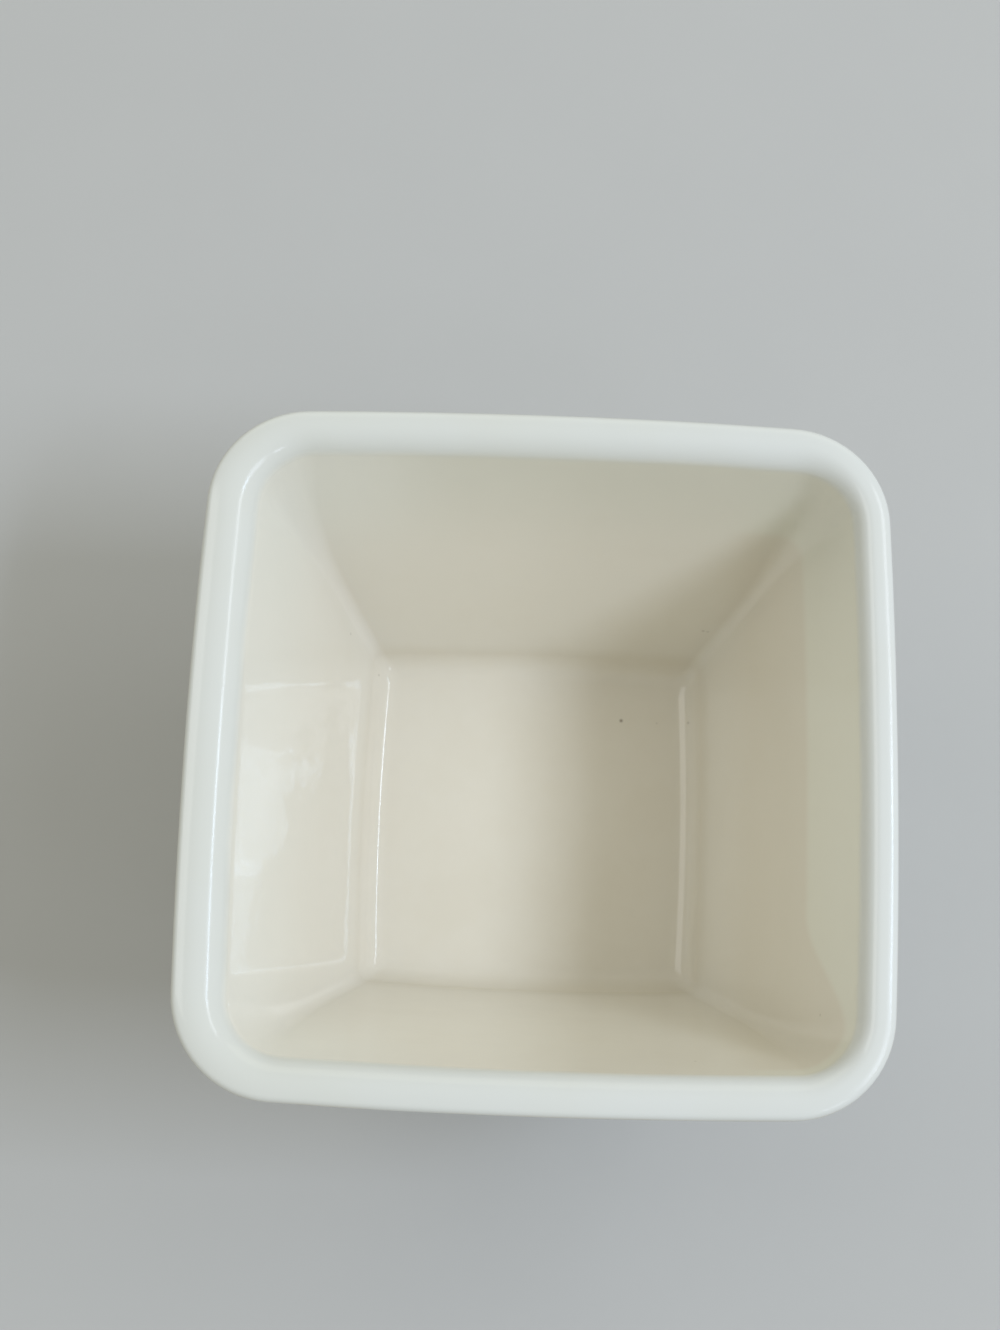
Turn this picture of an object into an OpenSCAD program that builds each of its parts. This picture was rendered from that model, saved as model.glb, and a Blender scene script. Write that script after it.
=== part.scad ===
// Square glazed dish with sloping sides, a round lip and a bare foot ring.
// The origin is on the table under the middle of the dish, and Z points up.

/* [Overall] */
// Width across the glazed rim, between the middles of two opposite sides
rim_width = 90; // [75:1:120]
// Height of the rim over the table
dish_height = 62; // [50:1:80]
// How far each side swells out past the line between its corners
side_bow = 0.6; // [0.2:0.1:1.5]

/* [Walls] */
// Width of the lip, with the glaze; the walls below it are a little thinner
lip_width = 5.8; // [4:0.1:7]
// Radius of the lip's outer edge
lip_edge = 1; // [0.9:0.1:1.6]
// Radius of the lip's top from that edge to its crest; the rest of its width is a quarter circle
lip_crown = 6; // [3:0.5:6.5]
// How far the mouth lies off the middle of the rim: the lip is thinner by this at +X and thicker at -X
mouth_shift = 1; // [0:0.1:1.5]
// Radius of the rim's corners, on the outside
rim_corner = 13.2; // [9:0.1:18]
// Radius of the outside corners just above the foot
base_corner = 10; // [8:0.5:14]

/* [Cavity] */
// Width of the cavity's floor, between the lines where the walls would meet it
floor_width = 49.6; // [40:0.1:58]
// Thickness of the floor, from the bare underside to the glaze on top
floor_thick = 4.6; // [3:0.1:8]
// Radius of the curve between the walls and the floor
floor_fillet = 4; // [2:0.5:8]
// Radius of the inside corners near the floor
crease_corner = 1.8; // [1:0.1:4]
// Depth below the lip at which the inside corners have narrowed to that radius
crease_depth = 34; // [15:1:45]

/* [Foot] */
// Height of the foot ring, which is also the depth of the hollow inside it
foot_height = 1.8; // [1:0.1:4]
// Width of the foot ring
foot_wide = 4; // [2.5:0.5:7]
// How far the foot ring is set in from the end of the curve above it
foot_inset = 1; // [0.5:0.5:3]
// Radius of the curve between the outside of the walls and the underside
heel_radius = 4; // [2:0.5:6]
// Radius of the foot ring's edges
foot_edge = 0.6; // [0.2:0.1:0.9]

/* [Glaze] */
// Thickness of each coat of glaze
glaze_thick = 0.4; // [0.2:0.05:0.8]
// Share of the lip's inner half, from its crest to the wall, that the white coat covers
white_share = 0.85; // [0.1:0.05:0.9]

/* [Hidden] */

// Steps along one side and around one corner of a ring
side_steps = 8;
corner_steps = 8;
// Steps up a wall, around the heel, around the lip's edge, up its crown, down to the border
// of the white coat, on to the wall, down the fillet and round a foot edge
wall_steps = 7;
heel_steps = 4;
lip_edge_steps = 4;
crown_steps = 2;
border_steps = 5;
mouth_steps = 2;
fillet_steps = 5;
edge_steps = 2;
// Smallest corner radius of a ring
least_corner = 1;
// Direction that the lip faces where its outer edge meets its crown, in degrees up from outward
crown_facing = 75;

ring_points = 4 * (side_steps + corner_steps);
rim_half = rim_width / 2;
floor_half = floor_width / 2;
floor_z = foot_height + floor_thick;

// Crest of the lip, and the radius and centre of the quarter circle inside it
crest_x = rim_half - lip_edge - (lip_crown - lip_edge) * cos(crown_facing);
inner_radius = lip_width - (rim_half - crest_x);
inner_z = dish_height - inner_radius;

// Centres of the lip's outer edge and of its crown
crown_z = dish_height - lip_crown;
edge_x = rim_half - lip_edge;
edge_z = crown_z + (lip_crown - lip_edge) * sin(crown_facing);

// Lean of the walls from the vertical, which takes their inside faces to the floor's edges
lip_reach = norm([crest_x - floor_half, inner_z - floor_z]);
lean = acos(inner_radius / lip_reach) - atan2(inner_z - floor_z, crest_x - floor_half);

// Where the white coat meets the cream one on the lip, as the direction that the lip faces there
border = 90 + (90 - lean) * white_share;

// Where the lip runs into the inside of the wall
mouth = lip_station(180 - lean);
mouth_half = mouth[0];
mouth_z = mouth[1];
mouth_corner = mouth[2];

// Where the lip runs into the outside of the wall
collar = lip_station(-lean);
collar_half = collar[0];
collar_z = collar[1];
collar_corner = collar[2];

// Centre of the curve between wall and floor
fillet_x = floor_half - floor_fillet * (1 - sin(lean)) / cos(lean);
fillet_z = floor_z + floor_fillet;

// Centre of the curve between the outside of the wall and the underside
heel_z = foot_height + heel_radius;
heel_x = collar_half + (sin(lean) * (heel_z - collar_z) - heel_radius) / cos(lean);
heel_top_half = heel_x + heel_radius * cos(lean);
heel_top_z = heel_z - heel_radius * sin(lean);

// Foot ring, measured on the bare clay
foot_out = heel_x - foot_inset;
foot_in = foot_out - foot_wide;

// A station is one ring of a surface: half width, height, corner radius, the direction
// that the surface faces, in degrees up from straight outward, and its share of the mouth's shift
function outside_corner(half) = max(least_corner, base_corner - (heel_top_half - half));

function heel_station(facing) =
    let (half = heel_x + heel_radius * cos(facing))
    [half, heel_z + heel_radius * sin(facing), outside_corner(half), facing, 0];

function outer_wall_station(share) =
    [heel_top_half + share * (collar_half - heel_top_half),
     heel_top_z + share * (collar_z - heel_top_z),
     base_corner + share * (collar_corner - base_corner),
     -lean,
     0];

// The lip is three arcs that run on smoothly from each other: edge, crown and quarter circle
function lip_arc(facing) =
    facing < crown_facing ? [edge_x, edge_z, lip_edge]
    : facing < 90 ? [crest_x, crown_z, lip_crown]
    : [crest_x, inner_z, inner_radius];

// The mouth's shift starts at the crest and is greatest where the lip runs into the wall
function lip_station(facing) =
    let (
        arc = lip_arc(facing),
        half = arc[0] + arc[2] * cos(facing)
    )
    [half, arc[1] + arc[2] * sin(facing), rim_corner - (rim_half - half), facing, max(0, -cos(facing))];

// Down the inside the shift fades to nothing at the floor
function inside_shift(z) = cos(lean) * (z - floor_z) / (mouth_z - floor_z);

// The inside corners narrow quickly below the lip and slowly near the crease
function narrowed_corner(z) =
    let (left = max(0, 1 - (mouth_z - z) / crease_depth))
    crease_corner + (mouth_corner - crease_corner) * left * left;

function inner_wall_station(share) =
    let (
        fillet_top_half = fillet_x + floor_fillet * cos(lean),
        fillet_top_z = fillet_z - floor_fillet * sin(lean),
        z = mouth_z + share * (fillet_top_z - mouth_z)
    )
    [mouth_half + share * (fillet_top_half - mouth_half), z, narrowed_corner(z), 180 - lean,
     inside_shift(z)];

function fillet_station(facing) =
    let (z = fillet_z - floor_fillet * sin(facing))
    [fillet_x - floor_fillet * cos(facing), z, narrowed_corner(z), facing, inside_shift(z)];

// Glazed face from the heel up the outside and over the lip to the border of the white coat
outside_face = concat(
    [for (k = [0 : heel_steps]) heel_station(-90 + (90 - lean) * k / heel_steps)],
    [for (k = [1 : wall_steps - 1]) outer_wall_station(k / wall_steps)],
    [collar],
    [for (k = [0 : lip_edge_steps]) lip_station(crown_facing * k / lip_edge_steps)],
    [for (k = [1 : crown_steps]) lip_station(crown_facing + (90 - crown_facing) * k / crown_steps)],
    [for (k = [1 : border_steps]) lip_station(90 + (border - 90) * k / border_steps)]
);

// Glazed face from below the border down the inside to the floor
below_border = concat(
    [for (k = [1 : mouth_steps]) lip_station(border + (180 - lean - border) * k / mouth_steps)],
    [for (k = [1 : wall_steps]) inner_wall_station(k / wall_steps)],
    [for (k = [1 : fillet_steps]) fillet_station(180 - lean - (90 - lean) * k / fillet_steps)]
);

// The two coats of glaze share the ring at the border
inside_face = concat([lip_station(border)], below_border);

// Bare foot ring, from the hollow under the dish to the step at the heel
foot_face = concat(
    [foot_station(foot_in, foot_height)],
    [for (k = [0 : edge_steps]) edge_station(foot_in + foot_edge, 180 + 90 * k / edge_steps)],
    [for (k = [0 : edge_steps]) edge_station(foot_out - foot_edge, 270 + 90 * k / edge_steps)],
    [foot_station(foot_out, foot_height + glaze_thick)]
);

function foot_station(half, z) = [half, z, outside_corner(half), 0, 0];

function edge_station(centre, facing) =
    foot_station(centre + foot_edge * cos(facing), foot_edge + foot_edge * sin(facing));

// The clay under a glazed face lies one coat behind it
function under_glaze(face) =
    [for (s = face)
        [s[0] - glaze_thick * cos(s[3]),
         s[1] - glaze_thick * sin(s[3]),
         s[2] - glaze_thick * cos(s[3]),
         s[3],
         s[4]]];

function reversed(list) = [for (k = [len(list) - 1 : -1 : 0]) list[k]];

function turned(point, quarter) =
    [cos(90 * quarter) * point[0] - sin(90 * quarter) * point[1],
     sin(90 * quarter) * point[0] + cos(90 * quarter) * point[1],
     point[2]];

// Ring of points: four long side arcs, joined by four corner arcs that run on smoothly from them
function ring(station) =
    let (
        half = station[0],
        z = station[1],
        corner = station[2],
        shift = [mouth_shift * station[4], 0, 0],
        side_radius = pow(half - corner, 2) / (2 * side_bow),
        side_centre = side_radius - half,
        corner_centre = (sqrt(2 * pow(side_radius - corner, 2) - pow(side_centre, 2)) - side_centre) / 2,
        half_turn = atan2(corner_centre, corner_centre + side_centre),
        quarter_points = concat(
            [for (k = [0 : side_steps - 1])
                let (angle = half_turn * (2 * k / side_steps - 1))
                [side_radius * cos(angle) - side_centre, side_radius * sin(angle), z]],
            [for (k = [0 : corner_steps - 1])
                let (angle = half_turn + (90 - 2 * half_turn) * k / corner_steps)
                [corner_centre + corner * cos(angle), corner_centre + corner * sin(angle), z]]
        )
    )
    [for (quarter = [0 : 3], point = quarter_points) turned(point, quarter) + shift];

// Triangles between two rings; each diagonal starts at the lower ring, so that two faces
// built on the same pair of rings match exactly, whichever way they run
function band(first, second, rising) =
    [for (j = [0 : ring_points - 1])
        let (
            a = first * ring_points + j,
            b = first * ring_points + (j + 1) % ring_points,
            c = second * ring_points + (j + 1) % ring_points,
            d = second * ring_points + j
        )
        each rising ? [[a, d, c], [a, c, b]] : [[a, d, b], [d, c, b]]];

// Solid skinned over rings; it is closed by flat ends, or by a last band back to the first ring
module skinned(stations, flat_ends) {
    count = len(stations);
    last = count - 1;
    bands = [for (i = [0 : flat_ends ? last - 1 : last])
        let (next = (i + 1) % count)
        each band(i, next, stations[next][1] >= stations[i][1])];
    ends = flat_ends
        ? [[for (j = [0 : ring_points - 1]) j],
           [for (j = [ring_points - 1 : -1 : 0]) last * ring_points + j]]
        : [];
    polyhedron([for (s = stations) each ring(s)], concat(bands, ends));
}

// Fired clay: foot ring, floor, walls and lip in one piece
module clay_body() {
    color("linen")
        skinned(concat(foot_face, under_glaze(outside_face), under_glaze(below_border)), true);
}

// Cream coat on the floor and the inside of the walls, up to the border on the lip
module inside_glaze() {
    color("cornsilk")
        skinned(concat(reversed(under_glaze(inside_face)), inside_face), true);
}

// White coat over the lip and the outside, which ends above the foot ring
module outside_glaze() {
    color("ghostwhite")
        skinned(concat(outside_face, reversed(under_glaze(outside_face))), false);
}

clay_body();
inside_glaze();
outside_glaze();
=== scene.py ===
"""Square glazed sauce dish, seen from above as in its photograph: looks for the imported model."""
import math

import bmesh
import bpy
from mathutils import Matrix, Vector, noise


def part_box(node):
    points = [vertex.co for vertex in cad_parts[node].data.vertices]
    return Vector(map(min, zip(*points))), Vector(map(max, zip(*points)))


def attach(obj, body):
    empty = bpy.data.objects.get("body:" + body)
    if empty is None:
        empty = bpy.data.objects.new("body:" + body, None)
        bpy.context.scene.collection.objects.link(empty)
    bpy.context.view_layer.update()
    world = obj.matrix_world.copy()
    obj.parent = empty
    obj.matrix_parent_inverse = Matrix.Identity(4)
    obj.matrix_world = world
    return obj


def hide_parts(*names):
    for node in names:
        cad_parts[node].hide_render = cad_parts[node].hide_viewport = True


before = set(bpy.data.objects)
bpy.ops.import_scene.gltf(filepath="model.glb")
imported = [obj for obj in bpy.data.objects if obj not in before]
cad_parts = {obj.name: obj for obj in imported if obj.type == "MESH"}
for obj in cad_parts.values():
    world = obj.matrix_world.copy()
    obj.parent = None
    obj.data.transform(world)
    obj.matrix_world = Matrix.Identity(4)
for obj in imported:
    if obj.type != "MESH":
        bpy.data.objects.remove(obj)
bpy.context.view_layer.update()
MM = 0.001

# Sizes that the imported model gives
outside_low, outside_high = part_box("outside_glaze")
inside_low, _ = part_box("inside_glaze")
_, clay_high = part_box("clay_body")
RIM_HALF = (outside_high[0] - outside_low[0]) / 2
DISH_HEIGHT = outside_high[2]
FOOT_HEIGHT = outside_low[2]
GLAZE_THICK = DISH_HEIGHT - clay_high[2]
FLOOR_Z = inside_low[2] + GLAZE_THICK

# Sizes that follow the part's source
SIDE_BOW = 0.6 * MM
LIP_WIDTH = 5.8 * MM
LIP_EDGE = 1 * MM
LIP_CROWN = 6 * MM
CROWN_FACING = math.radians(75)
MOUTH_SHIFT = Vector((1, 0, 0)) * MM
RIM_CORNER = 13.2 * MM
BASE_CORNER = 10 * MM
FLOOR_HALF = 24.8 * MM
FLOOR_FILLET = 4 * MM
CREASE_CORNER = 1.8 * MM
CREASE_DEPTH = 34 * MM
FOOT_WIDE = 4 * MM
FOOT_INSET = 1 * MM
HEEL_RADIUS = 4 * MM
FOOT_EDGE = 0.6 * MM
LEAST_CORNER = 1 * MM
WHITE_SHARE = 0.85

# How far the glaze's surface sinks at most, how long its waves are and how strong the short ones are
RIPPLE = 0.07 * MM
RIPPLE_LONG = 14 * MM
RIPPLE_SHORT = 5 * MM
SHORT_SHARE = 0.35

# Mesh steps
SIDE_STEPS = 40
CORNER_STEPS = 16
WALL_STEPS = 40
COLLAR_STEPS = 3
LIP_EDGE_STEPS = 12
CROWN_STEPS = 8
BORDER_STEPS = 18
MOUTH_STEPS = 4
FILLET_STEPS = 14
HEEL_STEPS = 10
EDGE_STEPS = 5
FLOOR_STEPS = 12
RING_POINTS = 4 * (SIDE_STEPS + CORNER_STEPS)
# Half width of the innermost ring on a level face
LAST_RING = 2 * MM

# Shape worked out from the sizes
UP = math.pi / 2
CREST_X = RIM_HALF - LIP_EDGE - (LIP_CROWN - LIP_EDGE) * math.cos(CROWN_FACING)
INNER_RADIUS = LIP_WIDTH - (RIM_HALF - CREST_X)
INNER_Z = DISH_HEIGHT - INNER_RADIUS
CROWN_Z = DISH_HEIGHT - LIP_CROWN
EDGE_X = RIM_HALF - LIP_EDGE
EDGE_Z = CROWN_Z + (LIP_CROWN - LIP_EDGE) * math.sin(CROWN_FACING)
LEAN = (math.acos(INNER_RADIUS / math.hypot(CREST_X - FLOOR_HALF, INNER_Z - FLOOR_Z))
        - math.atan2(INNER_Z - FLOOR_Z, CREST_X - FLOOR_HALF))
INWARD = math.pi - LEAN
BORDER = UP + (UP - LEAN) * WHITE_SHARE


# A station is one ring of a surface: half width, height, corner radius, the way it faces and
# its share of the mouth's shift
def lip_station(facing):
    """The lip is three arcs: a tight outer edge, a nearly level crown and a quarter circle inside."""
    x, z, radius = CREST_X, INNER_Z, INNER_RADIUS
    if facing < CROWN_FACING:
        x, z, radius = EDGE_X, EDGE_Z, LIP_EDGE
    elif facing < UP:
        x, z, radius = CREST_X, CROWN_Z, LIP_CROWN
    half = x + radius * math.cos(facing)
    return (half, z + radius * math.sin(facing), RIM_CORNER - (RIM_HALF - half), facing,
            max(0.0, -math.cos(facing)))


MOUTH_HALF, MOUTH_Z, MOUTH_CORNER, _, MOUTH_SHARE = lip_station(INWARD)
COLLAR_HALF, COLLAR_Z, COLLAR_CORNER, _, _ = lip_station(-LEAN)
FILLET_X = FLOOR_HALF - FLOOR_FILLET * (1 - math.sin(LEAN)) / math.cos(LEAN)
FILLET_Z = FLOOR_Z + FLOOR_FILLET
HEEL_Z = FOOT_HEIGHT + HEEL_RADIUS
HEEL_X = COLLAR_HALF + (math.sin(LEAN) * (HEEL_Z - COLLAR_Z) - HEEL_RADIUS) / math.cos(LEAN)
HEEL_TOP_HALF = HEEL_X + HEEL_RADIUS * math.cos(LEAN)
HEEL_TOP_Z = HEEL_Z - HEEL_RADIUS * math.sin(LEAN)
FOOT_OUT = HEEL_X - FOOT_INSET
FOOT_IN = FOOT_OUT - FOOT_WIDE


def between(start, end, steps, first=0):
    """Even steps from start to end, from step number first on."""
    return [start + (end - start) * k / steps for k in range(first, steps + 1)]


def outside_corner(half):
    return max(LEAST_CORNER, BASE_CORNER - (HEEL_TOP_HALF - half))


def heel_station(facing):
    half = HEEL_X + HEEL_RADIUS * math.cos(facing)
    return half, HEEL_Z + HEEL_RADIUS * math.sin(facing), outside_corner(half), facing, 0.0


def outer_wall_station(share):
    half = HEEL_TOP_HALF + share * (COLLAR_HALF - HEEL_TOP_HALF)
    z = HEEL_TOP_Z + share * (COLLAR_Z - HEEL_TOP_Z)
    return half, z, BASE_CORNER + share * (COLLAR_CORNER - BASE_CORNER), -LEAN, 0.0


def narrowed_corner(z):
    """Inside corners narrow from the mouth down to tight creases."""
    left = max(0.0, 1 - (MOUTH_Z - z) / CREASE_DEPTH)
    return CREASE_CORNER + (MOUTH_CORNER - CREASE_CORNER) * left * left


def inside_shift(z):
    """The mouth's shift fades to nothing at the floor."""
    return MOUTH_SHARE * (z - FLOOR_Z) / (MOUTH_Z - FLOOR_Z)


def inner_wall_station(share):
    fillet_top_half = FILLET_X + FLOOR_FILLET * math.cos(LEAN)
    fillet_top_z = FILLET_Z - FLOOR_FILLET * math.sin(LEAN)
    z = MOUTH_Z + share * (fillet_top_z - MOUTH_Z)
    half = MOUTH_HALF + share * (fillet_top_half - MOUTH_HALF)
    return half, z, narrowed_corner(z), INWARD, inside_shift(z)


def fillet_station(facing):
    z = FILLET_Z - FLOOR_FILLET * math.sin(facing)
    return FILLET_X - FLOOR_FILLET * math.cos(facing), z, narrowed_corner(z), facing, inside_shift(z)


def level_station(half, z, corner, facing):
    """Ring on a level face, whose corners shrink with it."""
    return half, z, min(corner, half / 2), facing, 0.0


def foot_station(half, z):
    return half, z, outside_corner(half), 0.0, 0.0


def edge_station(centre, facing):
    """Ring on a rounded edge of the foot, about a line at centre."""
    return foot_station(centre + FOOT_EDGE * math.cos(facing), FOOT_EDGE * (1 + math.sin(facing)))


def under_glaze(face):
    """The clay under a glazed face lies one coat behind it."""
    return [(half - GLAZE_THICK * math.cos(facing), z - GLAZE_THICK * math.sin(facing),
             max(LEAST_CORNER / 2, corner - GLAZE_THICK * math.cos(facing)), facing, shift)
            for half, z, corner, facing, shift in face]


OUTSIDE_FACE = ([heel_station(a) for a in between(-UP, -LEAN, HEEL_STEPS)]
                + [outer_wall_station(s) for s in between(0, 1, WALL_STEPS, 1)]
                + [lip_station(a) for a in between(-LEAN, 0, COLLAR_STEPS, 1)]
                + [lip_station(a) for a in between(0, CROWN_FACING, LIP_EDGE_STEPS, 1)]
                + [lip_station(a) for a in between(CROWN_FACING, UP, CROWN_STEPS, 1)]
                + [lip_station(a) for a in between(UP, BORDER, BORDER_STEPS, 1)])
BELOW_BORDER = ([lip_station(a) for a in between(BORDER, INWARD, MOUTH_STEPS, 1)]
                + [inner_wall_station(s) for s in between(0, 1, WALL_STEPS, 1)]
                + [fillet_station(a) for a in between(INWARD, UP, FILLET_STEPS, 1)]
                + [level_station(h, FLOOR_Z, CREASE_CORNER, UP)
                   for h in between(FILLET_X, LAST_RING, FLOOR_STEPS, 1)])
INSIDE_FACE = [lip_station(BORDER)] + BELOW_BORDER
FOOT_FACE = ([level_station(h, FOOT_HEIGHT, outside_corner(FOOT_IN), -UP)
              for h in between(LAST_RING, FOOT_IN, FLOOR_STEPS)]
             + [edge_station(FOOT_IN + FOOT_EDGE, a) for a in between(2 * UP, 3 * UP, EDGE_STEPS)]
             + [edge_station(FOOT_OUT - FOOT_EDGE, a) for a in between(3 * UP, 4 * UP, EDGE_STEPS)]
             + [foot_station(FOOT_OUT, FOOT_HEIGHT + GLAZE_THICK)])


def runs_from_crest():
    """Length along the glazed profile at each station of both coats, from the lip's crest inward."""
    face = OUTSIDE_FACE + BELOW_BORDER
    runs = [0.0]
    for a, b in zip(face, face[1:]):
        runs.append(runs[-1] + math.hypot(b[0] - a[0], b[1] - a[1]))
    crest = runs[len(OUTSIDE_FACE) - 1 - BORDER_STEPS]
    return [run - crest for run in runs]


def ring(station):
    """Four long side arcs joined by four corner arcs that run on smoothly from them."""
    half, z, corner, _, shift = station
    bow = min(SIDE_BOW, SIDE_BOW * half / FOOT_IN)
    side_radius = (half - corner) ** 2 / (2 * bow)
    side_centre = side_radius - half
    corner_centre = (math.sqrt(2 * (side_radius - corner) ** 2 - side_centre ** 2) - side_centre) / 2
    half_turn = math.atan2(corner_centre, corner_centre + side_centre)
    points = []
    for k in range(SIDE_STEPS):
        angle = half_turn * (2 * k / SIDE_STEPS - 1)
        points.append((Vector((side_radius * math.cos(angle) - side_centre,
                               side_radius * math.sin(angle), z)), angle))
    for k in range(CORNER_STEPS):
        angle = half_turn + (UP - 2 * half_turn) * k / CORNER_STEPS
        points.append((Vector((corner_centre + corner * math.cos(angle),
                               corner_centre + corner * math.sin(angle), z)), angle))
    turns = [Matrix.Rotation(UP * quarter, 3, "Z") for quarter in range(4)]
    return [(turn @ point + shift * MOUTH_SHIFT, UP * quarter + angle)
            for quarter, turn in enumerate(turns) for point, angle in points]


def sunk(point, angle, facing):
    """A point of the glaze's surface, let down by up to the ripple's height."""
    wave = noise.noise(point / RIPPLE_LONG) + SHORT_SHARE * noise.noise(point / RIPPLE_SHORT)
    outward = Vector((math.cos(angle), math.sin(angle), 0)) * math.cos(facing)
    normal = outward + Vector((0, 0, math.sin(facing)))
    return point - normal * RIPPLE * (0.5 + 0.5 * wave / (1 + SHORT_SHARE))


def skinned(name, stations, flat_ends, glazed=(), sharp=(), runs=None):
    """Closed mesh skinned over rings, with flat ends or a last band back to the first ring.

    The rings numbered in glazed ripple, those in sharp are hard edges, and runs are kept for the glaze.
    """
    mesh = bmesh.new()
    run_layer = mesh.verts.layers.float.new("run")
    rings = []
    for number, station in enumerate(stations):
        points = ring(station)
        if number in glazed:
            points = [(sunk(point, angle, station[3]), angle) for point, angle in points]
        verts = [mesh.verts.new(point) for point, _ in points]
        if runs:
            for vert in verts:
                vert[run_layer] = runs[number]
        rings.append(verts)
    pairs = list(zip(rings, rings[1:]))
    if not flat_ends:
        pairs.append((rings[-1], rings[0]))
    for low, high in pairs:
        for j in range(RING_POINTS):
            n = (j + 1) % RING_POINTS
            mesh.faces.new((low[j], low[n], high[n], high[j])).smooth = True
    if flat_ends:
        mesh.faces.new(list(reversed(rings[0]))).smooth = True
        mesh.faces.new(rings[-1]).smooth = True
    for number in sharp:
        for j in range(RING_POINTS):
            mesh.edges.get((rings[number][j], rings[number][(j + 1) % RING_POINTS])).smooth = False
    data = bpy.data.meshes.new(name)
    mesh.to_mesh(data)
    mesh.free()
    piece = bpy.data.objects.new(name, data)
    bpy.context.collection.objects.link(piece)
    return piece


# Materials
class Graph:
    """Short ways to add nodes to one material; a value is a number, a colour or another node's output."""

    def __init__(self, name):
        self.material = bpy.data.materials.new(name)
        self.material.use_nodes = True
        self.nodes = self.material.node_tree.nodes
        self.links = self.material.node_tree.links
        self.shader = self.nodes["Principled BSDF"]
        self.place = self.nodes.new("ShaderNodeTexCoord").outputs["Object"]

    def feed(self, socket, value):
        if isinstance(value, bpy.types.NodeSocket):
            self.links.new(value, socket)
        else:
            socket.default_value = value

    def math(self, operation, first, second):
        node = self.nodes.new("ShaderNodeMath")
        node.operation = operation
        self.feed(node.inputs[0], first)
        self.feed(node.inputs[1], second)
        return node.outputs[0]

    def times(self, first, *others):
        """Product of two or more values."""
        for other in others:
            first = self.math("MULTIPLY", first, other)
        return first

    def ramp(self, value, start, end, low=0.0, high=1.0):
        """Smooth change from low to high while the value goes from start to end."""
        node = self.nodes.new("ShaderNodeMapRange")
        node.interpolation_type = "SMOOTHSTEP"
        for socket, number in zip(node.inputs, (value, start, end, low, high)):
            self.feed(socket, number)
        return node.outputs[0]

    def mix(self, share, first, second):
        node = self.nodes.new("ShaderNodeMix")
        node.data_type = "RGBA"
        self.feed(node.inputs["Factor"], share)
        colour_sockets = [s for s in node.inputs if s.type == "RGBA"]
        for socket, colour in zip(colour_sockets, (first, second)):
            self.feed(socket, colour if isinstance(colour, bpy.types.NodeSocket) else (*colour, 1))
        return next(s for s in node.outputs if s.type == "RGBA")

    def cloud(self, size, detail=2.0, roughness=0.5):
        """Noise whose lumps are about as large as size, in metres."""
        node = self.nodes.new("ShaderNodeTexNoise")
        self.feed(node.inputs["Vector"], self.place)
        node.inputs["Scale"].default_value = 1 / size
        node.inputs["Detail"].default_value = detail
        node.inputs["Roughness"].default_value = roughness
        return node.outputs["Fac"]

    def dots(self, spacing, radius, kept):
        """Small round dots on a loose scatter of cells, in a share of them."""
        node = self.nodes.new("ShaderNodeTexVoronoi")
        self.feed(node.inputs["Vector"], self.place)
        node.inputs["Scale"].default_value = 1 / spacing
        near = self.ramp(node.outputs["Distance"], radius / spacing, 0.5 * radius / spacing)
        pick = self.nodes.new("ShaderNodeSeparateColor")
        self.feed(pick.inputs[0], node.outputs["Color"])
        return self.times(near, self.math("LESS_THAN", pick.outputs[0], kept))

    def spot(self, centre, radius):
        """One round dot at a point, in metres."""
        node = self.nodes.new("ShaderNodeVectorMath")
        node.operation = "DISTANCE"
        self.feed(node.inputs[0], self.place)
        node.inputs[1].default_value = centre
        return self.ramp(node.outputs["Value"], radius, 0.0)

    def axis(self, index):
        node = self.nodes.new("ShaderNodeSeparateXYZ")
        self.feed(node.inputs[0], self.place)
        return node.outputs[index]

    def attribute(self, name):
        node = self.nodes.new("ShaderNodeAttribute")
        node.attribute_name = name
        return node.outputs["Fac"]

    def bump(self, height, distance, normal=None):
        node = self.nodes.new("ShaderNodeBump")
        node.inputs["Strength"].default_value = 1.0
        node.inputs["Distance"].default_value = distance
        self.feed(node.inputs["Height"], height)
        if normal:
            self.feed(node.inputs["Normal"], normal)
        return node.outputs["Normal"]


# The part of a noise's range that a ramp spreads out
NARROW = (0.35, 0.65)
WIDE = (0.3, 0.7)

# Colours of the glaze
WHITE = (0.668, 0.678, 0.633)
# Cooler white: for random patches, and as painted light tinting the +X side, which faces the daylight
# lamps
WHITE_COOL_PATCH_AND_LIT = (0.68, 0.695, 0.668)
# Tan: thin glaze at the heel; at the shoulder it is also painted shade, where the outer edge turns away
# from the lamps
THIN_GLAZE_AND_SHADE = (0.56, 0.50, 0.38)
CREAM = (0.785, 0.75, 0.66)
# Deeper cream: random mottle, and painted shade on the floor and below the line on the +X wall
CREAM_DEEP = (0.735, 0.685, 0.575)
# Painted shade: greener, darker cream under the far lip
CREAM_UNDER_LIP_SHADE = (0.70, 0.69, 0.60)
# Painted light: the paler band high on the +X wall
CREAM_LIT_BAND = (0.78, 0.785, 0.675)
# Painted light: paler cream high on the -X wall, which faces the lamps
CREAM_LIT_WALL = (0.83, 0.825, 0.76)
SPECK = (0.16, 0.11, 0.07)

# White turns to cream about the end of the lip's inner arc, along a line that wanders
BORDER_START = -1.2 * MM
BORDER_END = 0.5 * MM
WANDER = 1.2 * MM
WANDER_SIZE = 11 * MM

# White: its patches, how far it cools towards +X (painted light, the side facing the daylight lamps), and
# the tan at the shoulder (thin glaze and painted shade), measured along the profile out from the crest,
# and at the heel
PATCH_SIZE = 16 * MM
PATCH_SHARE = 0.25
LIT_COOL_REACH = 40 * MM
SHOULDER_TOP = (-2.0 * MM, -2.8 * MM)
SHOULDER_FOOT = (-5.0 * MM, -3.4 * MM)
SHOULDER_SHARE = 0.45
HEEL_THIN = 1.6 * MM
TAN_SIZE = 6 * MM
TAN_NOISE = (0.25, 0.7)

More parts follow.
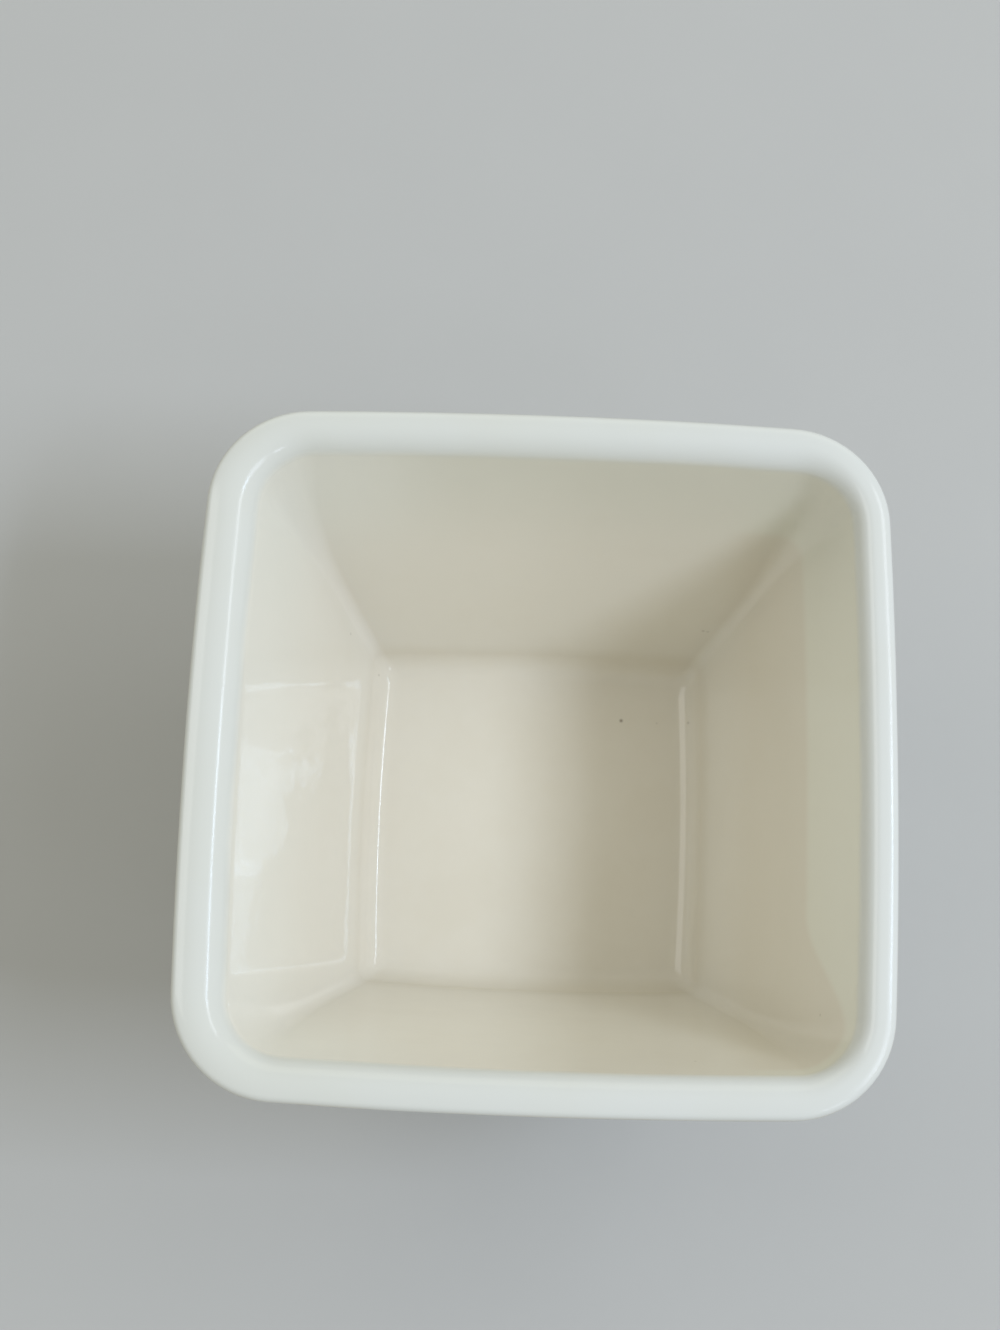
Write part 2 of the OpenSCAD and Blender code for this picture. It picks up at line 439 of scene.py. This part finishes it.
# Cream darkens over the floor as painted shade at the bottom of the hollow, between these heights over
# it, and is mottled all over
BOTTOM_SHADE_TOP = 7 * MM
BOTTOM_SHADE_FULL = 1 * MM
BOTTOM_SHADE_SHARE = 0.8
MOTTLE_SIZE = 9 * MM
MOTTLE_SHARE = 0.12

# Painted light and shade on the +X wall, a pale lit band over a line shaped like a shadow edge: where the
# wall begins along X, the line's height, its rise over the near end along Y, and the heights over which
# the deeper cream, painted shade, comes in below it
RIGHT_WALL = (24 * MM, 31 * MM)
LINE_HEIGHT = 45 * MM
LINE_SOFT = 1.2 * MM
LINE_RISE = 12 * MM
NEAR_END = (-17 * MM, -34 * MM)
WALL_SHADE_RISE = (14 * MM, 30 * MM)
WALL_SHADE_SHARE = 0.7
LIT_BAND_SHARE = 0.6

# Painted shade: greener, darker cream under the far lip; painted light: paler cream where the -X wall
# faces the lamps. Depth below the lip and reach
UNDER_LIP_SHADE_DEPTH = 25 * MM
FAR_SIDE = (12 * MM, 34 * MM)
UNDER_LIP_SHADE_SHARE = 0.85
LIT_WALL_DEPTH = 36 * MM
LEFT_SIDE = (-8 * MM, -30 * MM)
LIT_WALL_SHARE = 0.7

# Pinholes and specks in the glaze: place and radius in millimetres, and how dark each is
SPECKS = (
    ((13.4, 16.4, 6.4), 0.45, 0.7),
    ((18.9, 16.2, 6.4), 0.3, 0.15),
    ((23.7, 16.3, 7.0), 0.35, 0.28),
    ((24.6, 27.8, 19.0), 0.4, 0.25),
    ((25.3, 27.7, 18.9), 0.4, 0.2),
    ((-27.9, 25.0, 20.4), 0.35, 0.28),
    ((-24.2, 21.9, 7.8), 0.3, 0.28),
    ((36.9, -30.7, 49.5), 0.3, 0.28),
    ((20.7, -37.2, 52.3), 0.3, 0.25),
)
SCATTER_SPACING = 11 * MM
SCATTER_RADIUS = 0.16 * MM
SCATTER_KEPT = 0.3
SCATTER_DARKNESS = 0.2

# Gloss: roughness, what the worn lip and a speck add to it, and the height of the glaze's fine relief
GLOSS = (0.012, 0.035)
GLOSS_SIZE = 7 * MM
LIP_WEAR = 0.11
WORN_LIP = (-5 * MM, -2 * MM)
SPECK_DULL = 0.3
GLAZE_IOR = 1.6
PEEL_SIZE = 2.2 * MM
PEEL_HEIGHT = 0.006 * MM
PIT_DEPTH = 0.05 * MM


def white_tone(g, run, height):
    """White with patches, cooler towards +X as painted light, tan at the shoulder (thin glaze and painted
    shade) and at the heel, where the clay shows.
    """
    patches = g.ramp(g.cloud(PATCH_SIZE, 3), *NARROW, -PATCH_SHARE, PATCH_SHARE)
    # Painted light: the white cools towards +X, the side facing the daylight lamps, on top of random
    # patches
    patches_and_lit_cool = g.math("ADD", patches, g.ramp(g.axis(0), -LIT_COOL_REACH, LIT_COOL_REACH))
    # The shoulder's tan is partly thin glaze and partly painted shade on the outer edge, turned away from
    # the lamps
    shoulder = g.times(g.ramp(run, *SHOULDER_TOP), g.ramp(run, *SHOULDER_FOOT), SHOULDER_SHARE)
    heel = g.ramp(height, FOOT_HEIGHT + HEEL_THIN, FOOT_HEIGHT)
    tan_and_shade = g.times(g.math("MAXIMUM", shoulder, heel), g.ramp(g.cloud(TAN_SIZE, 3), *TAN_NOISE))
    return g.mix(tan_and_shade, g.mix(patches_and_lit_cool, WHITE, WHITE_COOL_PATCH_AND_LIT), THIN_GLAZE_AND_SHADE)


def cream_tone(g, past_mouth, height):
    """Cream, mottled: painted shade darker on the floor and low on the +X wall, a painted lit band above,
    greener painted shade under the far lip, painted light paler at -X.
    """
    along, across = g.axis(0), g.axis(1)
    # Painted shade: darker, warmer cream over the floor
    bottom_shade = g.times(g.ramp(height, FLOOR_Z + BOTTOM_SHADE_TOP, FLOOR_Z + BOTTOM_SHADE_FULL), BOTTOM_SHADE_SHARE)
    mottle = g.ramp(g.cloud(MOTTLE_SIZE, 4, 0.6), *WIDE, -MOTTLE_SHARE, MOTTLE_SHARE)
    cream = g.mix(g.math("ADD", bottom_shade, mottle), CREAM, CREAM_DEEP)

    # Painted light and shade on the +X wall: a pale lit band above a shadow-like edge, deeper cream as
    # painted shade below it
    over_rise = g.math("SUBTRACT", height, g.times(g.ramp(across, *NEAR_END), LINE_RISE))
    lit_band = g.ramp(over_rise, LINE_HEIGHT - LINE_SOFT, LINE_HEIGHT + LINE_SOFT)
    wall_shade = g.times(g.math("SUBTRACT", 1.0, lit_band), g.ramp(height, *WALL_SHADE_RISE))
    right_wall = g.ramp(along, *RIGHT_WALL)
    cream = g.mix(g.times(right_wall, wall_shade, WALL_SHADE_SHARE), cream, CREAM_DEEP)
    cream = g.mix(g.times(right_wall, lit_band, LIT_BAND_SHARE), cream, CREAM_LIT_BAND)

    # Painted shade under the far lip, tinted as the sky-lit upper wall
    under_lip_shade = g.times(g.ramp(past_mouth, UNDER_LIP_SHADE_DEPTH, 0.0), g.ramp(across, *FAR_SIDE), UNDER_LIP_SHADE_SHARE)
    cream = g.mix(under_lip_shade, cream, CREAM_UNDER_LIP_SHADE)
    # Painted light: the upper -X wall, facing the lamps, turns paler
    lit_wall = g.times(g.ramp(past_mouth, LIT_WALL_DEPTH, 0.0), g.ramp(along, *LEFT_SIDE), LIT_WALL_SHARE)
    return g.mix(lit_wall, cream, CREAM_LIT_WALL)


def speck_mask(g):
    """How dark the glaze is with specks: a faint scatter, and the listed ones."""
    mask = g.times(g.dots(SCATTER_SPACING, SCATTER_RADIUS, SCATTER_KEPT), SCATTER_DARKNESS)
    for centre, radius, darkness in SPECKS:
        mask = g.math("MAXIMUM", mask, g.times(g.spot(Vector(centre) * MM, radius * MM), darkness))
    return mask


def glaze(name):
    """Glossy glaze: white over the lip and the outside, cream within, with a soft border on the lip."""
    g = Graph(name)
    run = g.attribute("run")
    height = g.axis(2)
    wander = g.times(g.math("SUBTRACT", g.cloud(WANDER_SIZE), 0.5), WANDER)
    past_mouth = g.math("SUBTRACT", g.math("SUBTRACT", run, wander), INNER_RADIUS * (UP - LEAN))
    cream_share = g.ramp(past_mouth, BORDER_START, BORDER_END)
    specks = speck_mask(g)
    colour = g.mix(cream_share, white_tone(g, run, height), cream_tone(g, past_mouth, height))
    g.feed(g.shader.inputs["Base Color"], g.mix(specks, colour, SPECK))

    gloss = g.ramp(g.cloud(GLOSS_SIZE, 3), *WIDE, *GLOSS)
    worn = g.times(g.ramp(run, *WORN_LIP), g.math("SUBTRACT", 1.0, cream_share), LIP_WEAR)
    dull = g.math("ADD", worn, g.times(specks, SPECK_DULL))
    g.feed(g.shader.inputs["Roughness"], g.math("ADD", gloss, dull))
    g.shader.inputs["IOR"].default_value = GLAZE_IOR
    peel = g.bump(g.cloud(PEEL_SIZE, 1), PEEL_HEIGHT)
    g.feed(g.shader.inputs["Normal"], g.bump(g.times(specks, -1.0), PIT_DEPTH, normal=peel))
    return g.material


# Bare clay: its colours, its patches and grain, its dark specks, and the rubbed face of the foot
CLAY = (0.66, 0.59, 0.47)
CLAY_DARK = (0.60, 0.51, 0.385)
CLAY_GRAIN = (0.74, 0.69, 0.58)
CLAY_SPECK = (0.24, 0.17, 0.11)
CLAY_RUBBED = (0.42, 0.37, 0.31)
CLAY_PATCH_SIZE = 12 * MM
GRAIN_SIZE = 0.7 * MM
GRAIN_NOISE = (0.4, 0.75)
GRAIN_SHARE = 0.5
GRAIN_HEIGHT = 0.06 * MM
CLAY_ROUGHNESS = (0.75, 0.92)
CLAY_SPECK_SPACING = 1.6 * MM
CLAY_SPECK_RADIUS = 0.22 * MM
CLAY_SPECK_KEPT = 0.25
CLAY_SPECK_SHARE = 0.7
RUB_HEIGHT = 0.25 * MM
RUB_SIZE = 4 * MM
RUB_SHARE = 0.45


def bare_clay():
    """Fired clay without glaze: fine grain, pale and dark specks, and a rubbed foot."""
    g = Graph("bare_clay")
    grain = g.cloud(GRAIN_SIZE, 5, 0.65)
    colour = g.mix(g.ramp(g.cloud(CLAY_PATCH_SIZE, 3), *NARROW), CLAY, CLAY_DARK)
    colour = g.mix(g.ramp(grain, *GRAIN_NOISE, 0.0, GRAIN_SHARE), colour, CLAY_GRAIN)
    dark = g.dots(CLAY_SPECK_SPACING, CLAY_SPECK_RADIUS, CLAY_SPECK_KEPT)
    colour = g.mix(g.times(dark, CLAY_SPECK_SHARE), colour, CLAY_SPECK)
    rubbed = g.times(g.ramp(g.axis(2), RUB_HEIGHT, 0.0), g.ramp(g.cloud(RUB_SIZE, 4), *NARROW))
    colour = g.mix(g.times(rubbed, RUB_SHARE), colour, CLAY_RUBBED)
    g.feed(g.shader.inputs["Base Color"], colour)
    g.feed(g.shader.inputs["Roughness"], g.ramp(grain, *WIDE, *CLAY_ROUGHNESS))
    g.feed(g.shader.inputs["Normal"], g.bump(grain, GRAIN_HEIGHT))
    return g.material


# Pieces
body = skinned("clay_casting", FOOT_FACE + under_glaze(OUTSIDE_FACE) + under_glaze(BELOW_BORDER), True)

runs = runs_from_crest()
inner, outer = len(INSIDE_FACE), len(OUTSIDE_FACE)
inside_runs, outside_runs = runs[outer - 1:], runs[:outer]
liner = skinned("inside_coat", list(reversed(under_glaze(INSIDE_FACE))) + INSIDE_FACE, True,
                glazed=range(inner, 2 * inner), sharp=(inner - 1, inner),
                runs=list(reversed(inside_runs)) + inside_runs)

jacket = skinned("outside_coat", OUTSIDE_FACE + list(reversed(under_glaze(OUTSIDE_FACE))), False,
                 glazed=range(outer), sharp=(0, outer - 1, outer, 2 * outer - 1),
                 runs=outside_runs + list(reversed(outside_runs)))

for piece, node, slot, material in ((body, "clay_body", "bare_clay", bare_clay()),
                                    (liner, "inside_glaze", "cream_glaze", glaze("cream_glaze")),
                                    (jacket, "outside_glaze", "white_glaze", glaze("white_glaze"))):
    piece.data.materials.append(material)
    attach(piece, "root")
    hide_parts(node)

# Stage
FLOOR_SIZE = 6.0
FLOOR_GAP = 0.02 * MM
FLOOR_GREY = (0.50, 0.50, 0.49)
FLOOR_SHADE = 0.97
FLOOR_CLOUD = 20 * MM
FLOOR_ROUGHNESS = 0.9
LAMP_DISTANCE = 1.2
NEUTRAL = (1.0, 1.0, 1.0)
DAYLIGHT = (0.90, 1.0, 1.19)
PANE = (0.75, 1.0, 1.3)
SIDE = (0.93, 1.0, 1.1)
WARM = (1.0, 1.0, 0.78)
ROOM = (1.0, 1.0, 0.91)
# The room's light on the object, and its level where the camera or a reflection sees it
ROOM_LIGHT = 0.515
ROOM_SEEN = 0.59


def pale_floor():
    """Floor a hair below the foot, so that the two level faces never coincide."""
    bpy.ops.mesh.primitive_plane_add(size=FLOOR_SIZE, location=(0, 0, -FLOOR_GAP))
    floor = bpy.context.object
    floor.name = "floor"
    g = Graph("pale_floor")
    shaded = [FLOOR_SHADE * c for c in FLOOR_GREY]
    g.feed(g.shader.inputs["Base Color"], g.mix(g.cloud(FLOOR_CLOUD, 4), FLOOR_GREY, shaded))
    g.shader.inputs["Roughness"].default_value = FLOOR_ROUGHNESS
    floor.data.materials.append(g.material)


def softbox(name, azimuth, elevation, wide, high, radiance, tint, reflected=True):
    """Rectangular lamp aimed at the dish; its place and its size are angles, in degrees."""
    lamp = bpy.data.lights.new(name, "AREA")
    lamp.color = tint
    lamp.shape = "RECTANGLE"
    lamp.size = 2 * LAMP_DISTANCE * math.tan(math.radians(wide / 2))
    lamp.size_y = 2 * LAMP_DISTANCE * math.tan(math.radians(high / 2))
    lamp.energy = math.pi * lamp.size * lamp.size_y * radiance
    holder = bpy.data.objects.new(name, lamp)
    a, e = math.radians(azimuth), math.radians(elevation)
    away = Vector((math.cos(a) * math.cos(e), math.sin(a) * math.cos(e), math.sin(e)))
    holder.location = Vector((0, 0, DISH_HEIGHT)) + away * LAMP_DISTANCE
    holder.rotation_mode = "QUATERNION"
    holder.rotation_quaternion = (-away).to_track_quat("-Z", "Y")
    holder.visible_glossy = reflected
    bpy.context.collection.objects.link(holder)


def room():
    """Even light from all round."""
    world = bpy.data.worlds.new("room")
    world.use_nodes = True
    nodes, links = world.node_tree.nodes, world.node_tree.links
    background = nodes["Background"]
    background.inputs["Color"].default_value = (*ROOM, 1)
    path = nodes.new("ShaderNodeLightPath")
    seen = nodes.new("ShaderNodeMath")
    seen.operation = "MAXIMUM"
    links.new(path.outputs["Is Camera Ray"], seen.inputs[0])
    links.new(path.outputs["Is Glossy Ray"], seen.inputs[1])
    level = nodes.new("ShaderNodeMapRange")
    level.inputs["To Min"].default_value = ROOM_LIGHT
    level.inputs["To Max"].default_value = ROOM_SEEN
    links.new(seen.outputs[0], level.inputs["Value"])
    links.new(level.outputs[0], background.inputs["Strength"])
    bpy.context.scene.world = world


pale_floor()
softbox("key", -10, 52.7, 22, 11.5, 12.3, DAYLIGHT, reflected=False)
softbox("key_glint", -10, 52.7, 22, 11.5, 6.0, DAYLIGHT)
softbox("side", 32, 50, 22, 18, 1.5, SIDE, reflected=False)
softbox("side_glint", 30, 50, 20, 6.4, 2.3, SIDE)
softbox("pane_far", 17.1, 51.2, 3.5, 4, 4.7, PANE)
softbox("pane_near", 9.0, 51.2, 7.2, 4, 4.7, PANE)
softbox("corner_glint", -50, 50, 9, 6, 3.0, DAYLIGHT)
softbox("left_high", 161, 54, 24, 24, 1.15, NEUTRAL)
softbox("far", 90, 30, 60, 30, 0.5, WARM)
room()

# Camera: the photograph's pixels, its focal length in them, and where it was held over the rim
PHOTO_HEIGHT_PX = 1330
FOCAL_PX = 2000
SENSOR = 36.0
CAMERA_FROM_RIM = Vector((-5.6, -50.4, 247.1)) * MM
CAMERA_TILT = math.radians(13.96)
CAMERA_ROLL = math.radians(2.07)
lens = bpy.data.cameras.new("camera")
lens.sensor_width = SENSOR
lens.lens = FOCAL_PX / PHOTO_HEIGHT_PX * SENSOR
camera = bpy.data.objects.new("camera", lens)
camera.matrix_world = (
    Matrix.Translation(CAMERA_FROM_RIM + Vector((0, 0, EDGE_Z)))
    @ Matrix.Rotation(CAMERA_TILT, 4, "X") @ Matrix.Rotation(CAMERA_ROLL, 4, "Z"))
bpy.context.collection.objects.link(camera)
bpy.context.scene.camera = camera
bpy.context.scene.view_settings.view_transform = "Standard"
